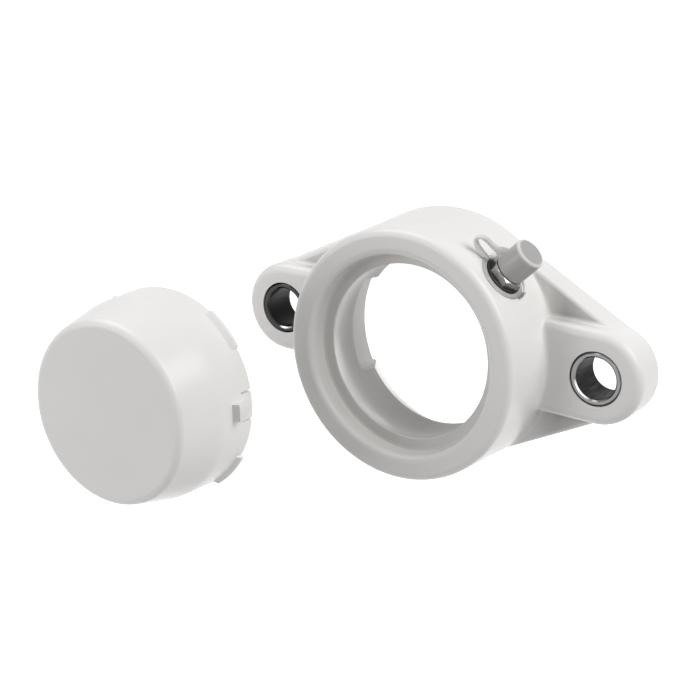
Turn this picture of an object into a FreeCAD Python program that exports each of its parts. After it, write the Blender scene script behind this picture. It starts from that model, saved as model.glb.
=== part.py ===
import FreeCAD, Part
import math
import os
import Sketcher

# Flange bearing housing: a moulded two-bolt housing with steel bolt sleeves, a capped grease nipple
# and a snap-in end cover. Millimetres. X runs along the bolts, Y along the bore towards the machine,
# Z up. The origin lies on the bore's axis, in the plane of the mounting face.

SIZES = [
    # Flange plate and ear pads
    ("bolt_spacing", 90.0, "between the two bolt holes"),
    ("ear_radius", 11.65, "round end of each ear"),
    ("pad_height", 10.2, "ear pad's face above the mounting face"),
    ("plate_thickness", 5.8, "flange plate beside the pads"),
    ("plate_draft", 9.0, "degrees of draft on the plate's edge"),
    ("ear_inset", 0.15, "plate's slanting sides inside the ears' tangents"),
    ("barrel_inset", 0.775, "plate's slanting sides inside the barrel, at the plate's face"),
    ("back_inset", 0.09, "plate's slanting sides inside the barrel, at the mounting face, or more"),
    ("pad_round", 2.2, "rounding of the pads' upper edge"),
    ("plate_round", 1.0, "rounding of the plate's upper edge"),
    ("foot_round", 1.0, "rounding where the pads stand on the plate"),
    ("back_round", 0.4, "rounding of the mounting face's outer edge"),
    # Barrel
    ("barrel_back_radius", 32.4, "barrel at the mounting face"),
    ("barrel_front_radius", 31.3, "barrel at its front"),
    ("housing_depth", 26.2, "mounting face to front face"),
    ("front_round", 1.8, "rounding of the front face's outer edge"),
    ("mouth_round", 1.6, "rounding of the front face's inner edge"),
    # Bore
    ("cover_seat_radius", 25.1, "recess for the end cover"),
    ("cover_seat_depth", 5.4, "depth of that recess"),
    ("lip_radius", 21.5, "opening in front of the bearing seat"),
    ("lip_chamfer", 0.7, "chamfer on that opening"),
    ("seat_radius", 23.5, "spherical bearing seat"),
    ("seat_depth", 12.2, "seat's centre in front of the mounting face"),
    ("back_mouth_radius", 25.3, "bore at the mounting face"),
    ("back_mouth_depth", 7.7, "taper behind the seat"),
    ("slot_radius", 26.3, "floor of the bearing's loading slots"),
    ("slot_width", 24.4, "width of the loading slots"),
    ("slot_depth", 10.0, "length of the loading slots from the mounting face"),
    # Bolt sleeves
    ("sleeve_radius", 6.75, "outside of a bolt sleeve"),
    ("sleeve_bore_radius", 5.25, "bolt hole in a sleeve"),
    ("sleeve_chamfer", 0.35, "chamfer on a sleeve's bore"),
    ("sleeve_edge", 0.55, "chamfer on a sleeve's outside"),
    ("sleeve_fit", 0.02, "room round a sleeve in its ear"),
    # Grease port
    ("port_angle", 45.0, "degrees from the bolt line up to the nipple"),
    ("port_depth", 16.3, "nipple's axis in front of the mounting face"),
    ("port_face", 0.6, "flat round the nipple, below the barrel's outside"),
    ("port_face_radius", 6.7, "radius of that flat"),
    ("grease_hole_radius", 1.5, "hole from the nipple to the bearing seat"),
    ("insert_radius", 4.85, "outside of the threaded insert"),
    ("insert_length", 5.0, "insert below the flat"),
    ("insert_rise", 0.9, "insert above the flat"),
    ("insert_chamfer", 0.25, "chamfer on the insert's rim"),
    ("insert_fit", 0.02, "room round the insert in the barrel"),
    # Grease nipple
    ("shank_radius", 3.0, "nipple's thread"),
    ("shank_length", 5.1, "thread below the hexagon"),
    ("shank_fit", 0.03, "room round the thread"),
    ("hex_width", 8.0, "hexagon across its flats"),
    ("hex_height", 1.9, "hexagon's thickness"),
    ("hex_chamfer", 0.5, "height of the chamfer on the hexagon's corners"),
    ("neck_radius", 2.4, "neck above the hexagon"),
    ("neck_length", 1.6, "neck's length"),
    ("head_radius", 3.25, "widest part of the nipple's head"),
    ("head_flare", 1.0, "height of the flare under the head"),
    ("head_band", 0.5, "height of the head's band"),
    ("head_taper", 1.8, "height of the head's taper"),
    ("head_top_radius", 1.9, "top of the head"),
    ("orifice_radius", 0.8, "opening in the head"),
    ("orifice_length", 0.5, "length of that opening"),
    ("chamber_radius", 1.1, "bore for the ball and spring"),
    ("chamber_length", 6.6, "length of that bore"),
    ("passage_radius", 0.6, "grease passage below the spring"),
    ("ball_radius", 1.0, "check ball"),
    ("ball_fit", 0.03, "room between the ball and its seat"),
    ("spring_radius", 0.75, "spring, to the middle of its wire"),
    ("spring_wire", 0.13, "radius of the spring's wire"),
    ("spring_turns", 3, "turns of the spring"),
    ("spring_fit", 0.1, "room at each end of the spring"),
    # Dust cap and its strap
    ("cap_radius", 3.94, "outside of the dust cap"),
    ("cap_fit", 0.05, "room between the cap and the nipple's head"),
    ("cap_gap", 0.3, "cap's rim above the hexagon"),
    ("cap_length", 7.1, "dust cap's length"),
    ("cap_top", 1.0, "thickness of the cap's end"),
    ("cap_round", 0.5, "rounding of the cap's end"),
    ("strap_ring_radius", 5.9, "outside of the strap's ring"),
    ("strap_ring_fit", 0.1, "room between the ring and the insert"),
    ("strap_ring_height", 0.5, "thickness of the ring"),
    ("strap_width", 1.7, "strap's width along the bore"),
    ("strap_thickness", 1.2, "strap's thickness"),
    ("strap_bend_radius", 1.7, "middle of the strap round its bend"),
    ("strap_reach", 9.1, "middle of the bend from the nipple's axis"),
    ("strap_fit", 0.1, "room between the strap's end and the cap"),
    ("strap_turn", 15.0, "degrees that the strap is turned round the nipple, towards the front"),
    ("tail_reach", 6.5, "end of the tail from the nipple's axis"),
    ("tail_width", 3.0, "tail's width"),
    # End cover
    ("cover_across", -41.8, "taken-off cover beside the bore's axis"),
    ("cover_ahead", 60.9, "taken-off cover's rim in front of the mounting face"),
    ("cover_down", -7.4, "taken-off cover above the bore's axis"),
    ("cover_length", 22.6, "cover from rim to end"),
    ("cover_front_radius", 21.8, "cover at its closed end"),
    ("cover_skirt_radius", 24.45, "cover where its skirt meets its tapered end"),
    ("cover_skirt_length", 10.4, "skirt from the rim"),
    ("cover_clearance", 0.35, "room between the cover's rim and its recess"),
    ("cover_wall", 1.8, "cover's wall"),
    ("cover_round", 1.8, "rounding of the cover's closed end"),
    ("skirt_blend", 15.0, "rounding between the skirt and the tapered end"),
    ("snap_count", 2, "lugs round the rim, each with two beads"),
    ("snap_turn", 3.8, "degrees from the cover's right side up to its lug"),
    ("bead_place", 43.7, "degrees from a lug to the beads beside it"),
    ("bead_overlap", 0.6, "how far beads reach past the recess's wall"),
    ("bead_length", 2.2, "length of a bead from the rim"),
    ("bead_angle", 24.0, "degrees that a bead spans"),
    ("lug_start", 0.8, "foot of a lug's ramp from the cover's rim"),
    ("lug_length", 6.2, "lug along the cover"),
    ("lug_angle", 8.5, "degrees that a lug spans"),
    ("lug_rise", 2.1, "lug's upright end above the skirt"),
    ("tongue_angle", 16.0, "degrees between the slits beside a lug"),
    ("slit_width", 0.4, "slits beside a lug"),
    ("slit_length", 3.5, "slits from the rim"),
    # Room for cuts to start outside the solid
    ("overshoot", 2.0, "length of a cut outside the solid"),
]

SIZE = {name: value for name, value, note in SIZES}
NEAR = 1e-4
UP = FreeCAD.Vector(0, 1, 0)

doc = FreeCAD.newDocument("flange_bearing_housing")
sheet = doc.addObject("Spreadsheet::Sheet", "Sizes")
for row, (name, value, note) in enumerate(SIZES, 1):
    sheet.set(f"A{row}", note)
    sheet.set(f"B{row}", str(value))
    sheet.setAlias(f"B{row}", name)
doc.recompute()


def cell(text):
    """An expression in the sheet's names, with each name pointed at the sheet."""
    for name in sorted(SIZE, key=len, reverse=True):
        text = text.replace(name, f"<{list(SIZE).index(name)}>")
    for index, name in enumerate(SIZE):
        text = text.replace(f"<{index}>", f"Sizes.{name}")
    return text


def new_body(label):
    body = doc.addObject("PartDesign::Body", label)
    body.Label = label
    return body


def origin_part(body, role):
    return next(part for part in body.Origin.OriginFeatures if part.Role == role)


def new_sketch(body, role, name, turn=None):
    """A sketch on one of the body's own planes, turned about the upright axis by an expression."""
    sketch = body.newObject("Sketcher::SketchObject", name)
    sketch.AttachmentSupport = [(origin_part(body, role), "")]
    sketch.MapMode = "FlatFace"
    if turn:
        sketch.AttachmentOffset = FreeCAD.Placement(FreeCAD.Vector(), FreeCAD.Rotation(UP, 1))
        sketch.setExpression("AttachmentOffset.Rotation.Angle", cell(turn))
    return sketch


def bind(sketch, kind, places, text):
    """A dimension whose value is an expression."""
    number = sketch.addConstraint(Sketcher.Constraint(kind, *places, 1.0))
    sketch.setExpression(f"Constraints[{number}]", cell(text))


def polygon(sketch, corners):
    """A closed run of lines whose corners are pairs of expressions."""
    first = sketch.GeometryCount
    count = len(corners)
    for step in range(count):
        ends = [math.tau * (step + turn) / count for turn in (0, 1)]
        points = [FreeCAD.Vector(math.cos(angle), math.sin(angle), 0) for angle in ends]
        sketch.addGeometry(Part.LineSegment(*points))
    for step, (across, along) in enumerate(corners):
        line = first + step
        after = first + (step + 1) % count
        sketch.addConstraint(Sketcher.Constraint("Coincident", line, 2, after, 1))
        bind(sketch, "DistanceX", (-1, 1, line, 1), across)
        bind(sketch, "DistanceY", (-1, 1, line, 1), along)


def circle(sketch, across, along, radius):
    """A circle whose centre and radius are expressions."""
    ring = sketch.addGeometry(Part.Circle(FreeCAD.Vector(1, 1, 0), FreeCAD.Vector(0, 0, 1), 1))
    bind(sketch, "DistanceX", (-1, 1, ring, 3), across)
    bind(sketch, "DistanceY", (-1, 1, ring, 3), along)
    bind(sketch, "Radius", (ring,), radius)


def feature(body, kind, name, profile=None, **expressions):
    """A feature of a body on a sketch, with its sizes given as expressions."""
    made = body.newObject(f"PartDesign::{kind}", name)
    if profile:
        made.Profile = profile
        profile.Visibility = False
    for key, text in expressions.items():
        made.setExpression(key, cell(text))
    return made


def turned(body, kind, name, sketch, axis, angle=None):
    """A revolution or a groove of a sketch about one of its axes."""
    made = feature(body, kind, name, sketch)
    made.ReferenceAxis = (sketch, [axis])
    made.Angle = 360
    if angle:
        made.Midplane = True
        made.setExpression("Angle", cell(angle))
    return made


def round_edges(body, name, size, wanted):
    """Rounds the edges that a test picks from the body's last shape."""
    doc.recompute()
    base = body.Tip
    edges = [pair for pair in enumerate(base.Shape.Edges, 1) if not pair[1].Degenerated]
    names = [f"Edge{number}" for number, edge in edges if wanted(edge)]
    made = body.newObject("PartDesign::Fillet", name)
    made.Base = (base, names)
    made.setExpression("Radius", cell(size))
    return made


def is_ring(edge, along, radius):
    """A whole circle about the bore's axis, at a distance along it."""
    if not isinstance(edge.Curve, Part.Circle):
        return False
    at_height = abs(edge.Curve.Center.y - along) < NEAR
    return at_height and abs(edge.Curve.Radius - radius) < NEAR


def in_plane(edge, along):
    """All of an edge lies in a plane across the bore's axis."""
    return all(abs(point.y - along) < NEAR for point in edge.discretize(5))


def barrel_at(ahead):
    """The barrel's radius at a distance in front of the mounting face."""
    return f"(barrel_back_radius - (barrel_back_radius - barrel_front_radius) * {ahead} / housing_depth)"


PORT_HEIGHT = f"({barrel_at('port_depth')} - port_face)"


def place_on_port(body):
    """Sets a body's Z axis on the nipple's axis, with its origin on the flat round the nipple."""
    body.Placement = FreeCAD.Placement(FreeCAD.Vector(), FreeCAD.Rotation(UP, 1))
    body.setExpression("Placement.Base.x", cell(f"{PORT_HEIGHT} * cos(port_angle)"))
    body.setExpression("Placement.Base.y", cell("-port_depth"))
    body.setExpression("Placement.Base.z", cell(f"{PORT_HEIGHT} * sin(port_angle)"))
    body.setExpression("Placement.Rotation.Angle", cell("90 - port_angle"))


def turned_on_port(label, corners):
    """A body on the nipple's axis, turned from a closed profile of radius and height."""
    body = new_body(label)
    sketch = new_sketch(body, "XZ_Plane", f"{label}_profile")
    polygon(sketch, corners)
    turned(body, "Revolution", f"{label}_turned", sketch, "V_Axis")
    place_on_port(body)
    return body


def plate_outline(sketch):
    """The flange's slanting sides, which run close to the ears and the barrel, and straight ends."""
    ear = "(ear_radius - ear_inset)"
    at_face = f"{barrel_at('plate_thickness')} - barrel_inset + plate_thickness * tan(plate_draft)"
    barrel = f"min(barrel_back_radius - back_inset; {at_face})"
    lean = f"(({barrel} - {ear}) * 2 / bolt_spacing)"
    rise = f"sqrt(1 - {lean} ^ 2)"
    ear_x, ear_z = f"(bolt_spacing / 2 + {ear} * {lean})", f"({ear} * {rise})"
    barrel_x, barrel_z = f"({barrel} * {lean})", f"({barrel} * {rise})"
    corners = [
        (ear_x, f"-{ear_z}"),
        (ear_x, ear_z),
        (barrel_x, barrel_z),
        (f"-{barrel_x}", barrel_z),
        (f"-{ear_x}", ear_z),
        (f"-{ear_x}", f"-{ear_z}"),
        (f"-{barrel_x}", f"-{barrel_z}"),
        (barrel_x, f"-{barrel_z}"),
    ]
    polygon(sketch, corners)


def round_ended(sketch, reach, radius):
    """An outline with round ends whose middles lie to both sides of the origin."""
    half, size = SIZE["bolt_spacing"] / 2, SIZE["ear_radius"]
    normal = FreeCAD.Vector(0, 0, 1)
    quarter = math.pi / 2
    right_ring = Part.Circle(FreeCAD.Vector(half, 0, 0), normal, size)
    left_ring = Part.Circle(FreeCAD.Vector(-half, 0, 0), normal, size)
    right = sketch.addGeometry(Part.ArcOfCircle(right_ring, -quarter, quarter))
    left = sketch.addGeometry(Part.ArcOfCircle(left_ring, quarter, 3 * quarter))
    for before, after, across in ((right, left, reach), (left, right, f"-{reach}")):
        start = sketch.getPoint(before, 2)
        end = sketch.getPoint(after, 1)
        line = sketch.addGeometry(Part.LineSegment(start, end))
        sketch.addConstraint(Sketcher.Constraint("Coincident", before, 2, line, 1))
        sketch.addConstraint(Sketcher.Constraint("Coincident", line, 2, after, 1))
        sketch.addConstraint(Sketcher.Constraint("Vertical", before, 1, before, 3))
        sketch.addConstraint(Sketcher.Constraint("Vertical", before, 2, before, 3))
        sketch.addConstraint(Sketcher.Constraint("PointOnObject", before, 3, -1))
        bind(sketch, "DistanceX", (-1, 1, before, 3), across)
        bind(sketch, "Radius", (before,), radius)


def slot_outline(sketch):
    """A circle with two flat sides: both loading slots in one cut across the bore."""
    radius = SIZE["slot_radius"]
    lean = math.asin(SIZE["slot_width"] / 2 / radius)
    ring = Part.Circle(FreeCAD.Vector(), FreeCAD.Vector(0, 0, 1), radius)
    right = sketch.addGeometry(Part.ArcOfCircle(ring, -lean, lean))
    left = sketch.addGeometry(Part.ArcOfCircle(ring, math.pi - lean, math.pi + lean))
    for before, after in ((right, left), (left, right)):
        start = sketch.getPoint(before, 2)
        end = sketch.getPoint(after, 1)
        line = sketch.addGeometry(Part.LineSegment(start, end))
        sketch.addConstraint(Sketcher.Constraint("Coincident", before, 2, line, 1))
        sketch.addConstraint(Sketcher.Constraint("Coincident", line, 2, after, 1))
        sketch.addConstraint(Sketcher.Constraint("Horizontal", line))
        sketch.addConstraint(Sketcher.Constraint("Coincident", before, 3, -1, 1))
        bind(sketch, "Radius", (before,), "slot_radius")
    bind(sketch, "DistanceY", (-1, 1, right, 2), "slot_width / 2")
    bind(sketch, "DistanceY", (-1, 1, left, 2), "-slot_width / 2")


def make_housing():
    body = new_body("housing")

    # Flange plate with drafted edges
    sketch = new_sketch(body, "XZ_Plane", "plate_outline")
    plate_outline(sketch)
    feature(body, "Pad", "plate", sketch, Length="plate_thickness", TaperAngle="-plate_draft")

    # Raised pads round the bolts
    sketch = new_sketch(body, "XZ_Plane", "pad_outline")
    round_ended(sketch, "bolt_spacing / 2", "ear_radius")
    feature(body, "Pad", "pads", sketch, Length="pad_height")

    # Barrel, slightly drafted
    sketch = new_sketch(body, "XY_Plane", "barrel_profile")
    corners = [
        ("0", "0"),
        ("barrel_back_radius", "0"),
        ("barrel_front_radius", "-housing_depth"),
        ("0", "-housing_depth"),
    ]
    polygon(sketch, corners)
    turned(body, "Revolution", "barrel", sketch, "V_Axis")

    # Soft edges of the pads, the plate and the back, and soft feet where pads, plate and barrel meet
    pad_face = -SIZE["pad_height"]
    plate_face = -SIZE["plate_thickness"]
    back_radius, front_radius = SIZE["barrel_back_radius"], SIZE["barrel_front_radius"]
    side = SIZE["ear_radius"]

    def on_barrel(edge):
        for point in edge.discretize(5):
            radius = back_radius + (back_radius - front_radius) * point.y / SIZE["housing_depth"]
            if abs(math.hypot(point.x, point.z) - radius) > NEAR:
                return False
        return True

    def is_pad_rim(edge):
        return in_plane(edge, pad_face) and not on_barrel(edge)

    def is_foot(edge):
        points = edge.discretize(5)
        if in_plane(edge, plate_face) and all(abs(abs(point.z) - side) < NEAR for point in points):
            return True
        between = all(pad_face - NEAR < point.y < plate_face + NEAR for point in points)
        return between and on_barrel(edge)

    def is_plate_rim(edge):
        return in_plane(edge, plate_face) and isinstance(edge.Curve, Part.Line) and not is_foot(edge)

    round_edges(body, "pad_rims", "pad_round", is_pad_rim)
    round_edges(body, "plate_rims", "plate_round", is_plate_rim)
    round_edges(body, "feet", "foot_round", is_foot)
    round_edges(body, "back_edges", "back_round", lambda edge: in_plane(edge, 0))

    # Bore from the mounting face to the front, with the recess for the end cover
    sketch = new_sketch(body, "XY_Plane", "bore_profile")
    corners = [
        ("0", "overshoot"),
        ("back_mouth_radius", "overshoot"),
        ("back_mouth_radius", "0"),
        ("lip_radius", "-back_mouth_depth"),
        ("lip_radius", "cover_seat_depth + lip_chamfer - housing_depth"),
        ("lip_radius + lip_chamfer", "cover_seat_depth - housing_depth"),
        ("cover_seat_radius", "cover_seat_depth - housing_depth"),
        ("cover_seat_radius", "-housing_depth - overshoot"),
        ("0", "-housing_depth - overshoot"),
    ]
    polygon(sketch, corners)
    turned(body, "Groove", "bore", sketch, "V_Axis")

    # Spherical seat for the insert bearing, with its pole on the bore's axis
    seat = feature(body, "SubtractiveSphere", "bearing_seat", Radius="seat_radius")
    seat.AttachmentSupport = [(origin_part(body, "XZ_Plane"), "")]
    seat.MapMode = "FlatFace"
    seat.setExpression("AttachmentOffset.Base.z", cell("seat_depth"))

    # Slots that let the bearing in crosswise from the back
    sketch = new_sketch(body, "XZ_Plane", "slot_outline")
    slot_outline(sketch)
    slots = feature(body, "Pocket", "loading_slots", sketch, Length="slot_depth")
    slots.Reversed = True

    # Holes for the bolt sleeves
    sketch = new_sketch(body, "XZ_Plane", "sleeve_hole_outline")
    for across in ("bolt_spacing / 2", "-bolt_spacing / 2"):
        circle(sketch, across, "0", "sleeve_radius + sleeve_fit")
    holes = feature(body, "Pocket", "sleeve_holes", sketch, Length="pad_height + overshoot")
    holes.Reversed = True

    # Flat, insert hole and grease hole for the nipple
    sketch = new_sketch(body, "XY_Plane", "port_profile", turn="-port_angle")
    middle = "-port_depth"
    wall = f"{PORT_HEIGHT} + pad_height"
    floor = f"{PORT_HEIGHT} - insert_length"
    corners = [
        ("lip_radius - overshoot", middle),
        (wall, middle),
        (wall, "port_face_radius - port_depth"),
        (PORT_HEIGHT, "port_face_radius - port_depth"),
        (PORT_HEIGHT, "insert_radius + insert_fit - port_depth"),
        (floor, "insert_radius + insert_fit - port_depth"),
        (floor, "grease_hole_radius - port_depth"),
        ("lip_radius - overshoot", "grease_hole_radius - port_depth"),
    ]
    polygon(sketch, corners)
    axis = sketch.addGeometry(Part.LineSegment(FreeCAD.Vector(1, -1, 0), FreeCAD.Vector(2, -1, 0)), True)
    sketch.addConstraint(Sketcher.Constraint("Horizontal", axis))
    sketch.addConstraint(Sketcher.Constraint("PointOnObject", axis, 1, -2))
    bind(sketch, "DistanceY", (-1, 1, axis, 1), middle)
    bind(sketch, "DistanceX", (axis, 1, axis, 2), PORT_HEIGHT)
    turned(body, "Groove", "grease_port", sketch, "Axis0")

    # Rounded rim of the barrel, inside and out
    front = -SIZE["housing_depth"]
    outer, inner = SIZE["barrel_front_radius"], SIZE["cover_seat_radius"]
    round_edges(body, "front_edge", "front_round", lambda edge: is_ring(edge, front, outer))
    round_edges(body, "mouth_edge", "mouth_round", lambda edge: is_ring(edge, front, inner))
    return body


def make_sleeve(label, side):
    """A bolt sleeve as long as its ear is thick, with both its ends chamfered inside and out."""
    body = new_body(label)
    sketch = new_sketch(body, "XY_Plane", f"{label}_profile")
    corners = [
        ("sleeve_radius - sleeve_edge", "0"),
        ("sleeve_radius", "-sleeve_edge"),
        ("sleeve_radius", "sleeve_edge - pad_height"),
        ("sleeve_radius - sleeve_edge", "-pad_height"),
        ("sleeve_bore_radius + sleeve_chamfer", "-pad_height"),
        ("sleeve_bore_radius", "sleeve_chamfer - pad_height"),
        ("sleeve_bore_radius", "-sleeve_chamfer"),
        ("sleeve_bore_radius + sleeve_chamfer", "0"),
    ]
    polygon(sketch, corners)
    turned(body, "Revolution", f"{label}_turned", sketch, "V_Axis")
    body.setExpression("Placement.Base.x", cell(f"{side} * bolt_spacing / 2"))
    return body


def make_insert():
    bore = "shank_radius + shank_fit"
    corners = [
        (bore, "-insert_length"),
        ("insert_radius", "-insert_length"),
        ("insert_radius", "insert_rise - insert_chamfer"),
        ("insert_radius - insert_chamfer", "insert_rise"),
        (bore, "insert_rise"),
    ]
    return turned_on_port("grease_port_insert", corners)


def make_nipple():
    """Threaded shank, hexagon and head of the nipple, bored for its ball and spring."""
    bottom = "insert_rise - shank_length"
    hex_top = "insert_rise + hex_height"
    head_low = f"{hex_top} + neck_length"
    band_low = f"{head_low} + head_flare"
    band_high = f"{band_low} + head_band"
    top = f"{band_high} + head_taper"
    chamber_top = f"{top} - orifice_length"
    chamber_low = f"{chamber_top} - chamber_length"
    corners = [
        ("passage_radius", bottom),
        ("shank_radius", bottom),
        ("shank_radius", hex_top),
        ("neck_radius", hex_top),
        ("neck_radius", head_low),
        ("head_radius", band_low),
        ("head_radius", band_high),
        ("head_top_radius", top),
        ("orifice_radius", top),
        ("orifice_radius", chamber_top),
        ("chamber_radius", chamber_top),
        ("chamber_radius", chamber_low),
        ("passage_radius", chamber_low),
    ]
    body = turned_on_port("nipple_body", corners)

    # Hexagon with a hole in it for the bored shank
    sketch = new_sketch(body, "XY_Plane", "hex_outline")
    corner = "hex_width / sqrt(3)"
    turns = [60 * step for step in range(6)]
    polygon(sketch, [(f"{corner} * cos({turn})", f"{corner} * sin({turn})") for turn in turns])
    circle(sketch, "0", "0", "(neck_radius + chamber_radius) / 2")
    sketch.setExpression("AttachmentOffset.Base.z", cell("insert_rise"))
    feature(body, "Pad", "hexagon", sketch, Length="hex_height")

    # Turned chamfer on the hexagon's upper corners
    sketch = new_sketch(body, "XZ_Plane", "hex_chamfer_profile")
    corners = [
        ("hex_width / 2", hex_top),
        ("hex_width / 2 + hex_chamfer * sqrt(3)", hex_top),
        ("hex_width / 2 + hex_chamfer * sqrt(3)", f"{hex_top} - hex_chamfer"),
    ]
    polygon(sketch, corners)
    turned(body, "Groove", "hex_corners", sketch, "V_Axis")
    return body


CHAMBER_TOP = (
    "(insert_rise + hex_height + neck_length + head_flare + head_band + head_taper - orifice_length)"
)
BALL_DROP = "sqrt((ball_radius + ball_fit) ^ 2 - orifice_radius ^ 2)"


def make_ball():
    """The check ball, just under the edge of the opening that it closes."""
    body = new_body("nipple_ball")
    ball = feature(body, "AdditiveSphere", "ball", Radius="ball_radius")
    ball.AttachmentSupport = [(origin_part(body, "XY_Plane"), "")]
    ball.MapMode = "FlatFace"
    ball.setExpression("AttachmentOffset.Base.z", cell(f"{CHAMBER_TOP} - {BALL_DROP}"))
    place_on_port(body)
    return body


def make_spring():
    """The ball's spring, from the floor of its bore to the underside of the ball."""
    body = new_body("nipple_spring")
    low = f"({CHAMBER_TOP} - chamber_length + spring_wire + spring_fit)"
    touch = "sqrt((ball_radius + spring_wire) ^ 2 - spring_radius ^ 2)"
    high = f"({CHAMBER_TOP} - {BALL_DROP} - {touch} - spring_fit)"
    sketch = new_sketch(body, "XZ_Plane", "wire_outline")
    circle(sketch, "spring_radius", low, "spring_wire")
    coil = feature(body, "AdditiveHelix", "coil", sketch)
    coil.ReferenceAxis = (sketch, ["V_Axis"])
    coil.Mode = "height-turns-angle"
    coil.setExpression("Height", cell(f"{high} - {low}"))
    coil.setExpression("Turns", cell("spring_turns"))
    place_on_port(body)
    return body


def make_cap():
    """The dust cap: a thick-ended cup pushed over the nipple's head."""
    rim = "insert_rise + hex_height + cap_gap"
    inside = "head_radius + cap_fit"
    corners = [
        (inside, rim),
        ("cap_radius", rim),
        ("cap_radius", f"{rim} + cap_length"),
        ("0", f"{rim} + cap_length"),
        ("0", f"{rim} + cap_length - cap_top"),
        (inside, f"{rim} + cap_length - cap_top"),
    ]
    body = turned_on_port("nipple_cap", corners)
    top = SIZE["insert_rise"] + SIZE["hex_height"] + SIZE["cap_gap"] + SIZE["cap_length"]

    def is_end(edge):
        low, high = edge.BoundBox.ZMin, edge.BoundBox.ZMax
        wide = edge.BoundBox.XLength > 2 * SIZE["cap_radius"] - NEAR
        return wide and abs(low - top) < NEAR and abs(high - top) < NEAR

    round_edges(body, "cap_end", "cap_round", is_end)
    return body


def make_strap():
    """Ring round the nipple's foot, tail, and the strap that loops up to the cap."""
    body = new_body("cap_strap")

    # Ring, with its bore left open by the second circle
    sketch = new_sketch(body, "XY_Plane", "ring_outline")
    circle(sketch, "0", "0", "strap_ring_radius")
    circle(sketch, "0", "0", "insert_radius + strap_ring_fit")
    feature(body, "Pad", "ring", sketch, Length="strap_ring_height")

    # Tail on the side away from the strap
    sketch = new_sketch(body, "XZ_Plane", "tail_outline", turn="strap_turn")
    root = "(insert_radius + strap_ring_radius) / 2"
    corners = [
        (root, "0"),
        ("tail_reach", "0"),
        ("tail_reach", "strap_ring_height"),
        (root, "strap_ring_height"),
    ]
    polygon(sketch, corners)
    tail = feature(body, "Pad", "tail", sketch, Length="tail_width")
    tail.Midplane = True

    # Strap: two straight runs joined by a half turn
    sketch = new_sketch(body, "XZ_Plane", "strap_outline", turn="strap_turn")
    half = SIZE["strap_thickness"] / 2
    quarter = math.pi / 2
    bend = SIZE["strap_bend_radius"]
    foot = SIZE["strap_thickness"] / 2
    middle = FreeCAD.Vector(-SIZE["strap_reach"], foot + bend, 0)
    normal = FreeCAD.Vector(0, 0, 1)
    outer_ring = Part.Circle(middle, normal, bend + half)
    inner_ring = Part.Circle(middle, normal, bend - half)
    outer = sketch.addGeometry(Part.ArcOfCircle(outer_ring, quarter, 3 * quarter))
    inner = sketch.addGeometry(Part.ArcOfCircle(inner_ring, quarter, 3 * quarter))
    low_end = "-(insert_radius + strap_ring_radius) / 2"
    high_end = "-cap_radius - strap_fit"
    runs = []
    for end, reach in ((1, high_end), (2, low_end)):
        tips = []
        for ring in (outer, inner):
            start = sketch.getPoint(ring, end)
            tip = FreeCAD.Vector(-SIZE["cap_radius"], start.y, 0)
            line = sketch.addGeometry(Part.LineSegment(start, tip))
            sketch.addConstraint(Sketcher.Constraint("Vertical", ring, end, ring, 3))
            sketch.addConstraint(Sketcher.Constraint("Coincident", ring, end, line, 1))
            sketch.addConstraint(Sketcher.Constraint("Horizontal", line))
            bind(sketch, "DistanceX", (-1, 1, line, 2), reach)
            tips.append(line)
        runs.append(tips)
    for first, second in runs:
        start = sketch.getPoint(first, 2)
        end = sketch.getPoint(second, 2)
        close = sketch.addGeometry(Part.LineSegment(start, end))
        sketch.addConstraint(Sketcher.Constraint("Coincident", close, 1, first, 2))
        sketch.addConstraint(Sketcher.Constraint("Coincident", close, 2, second, 2))
    sketch.addConstraint(Sketcher.Constraint("Coincident", inner, 3, outer, 3))
    bind(sketch, "DistanceX", (-1, 1, outer, 3), "-strap_reach")
    bind(sketch, "DistanceY", (-1, 1, outer, 3), "strap_thickness / 2 + strap_bend_radius")
    bind(sketch, "Radius", (outer,), "strap_bend_radius + strap_thickness / 2")
    bind(sketch, "Radius", (inner,), "strap_bend_radius - strap_thickness / 2")
    strap = feature(body, "Pad", "strap", sketch, Length="strap_width")
    strap.Midplane = True
    place_on_port(body)
    return body


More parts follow.
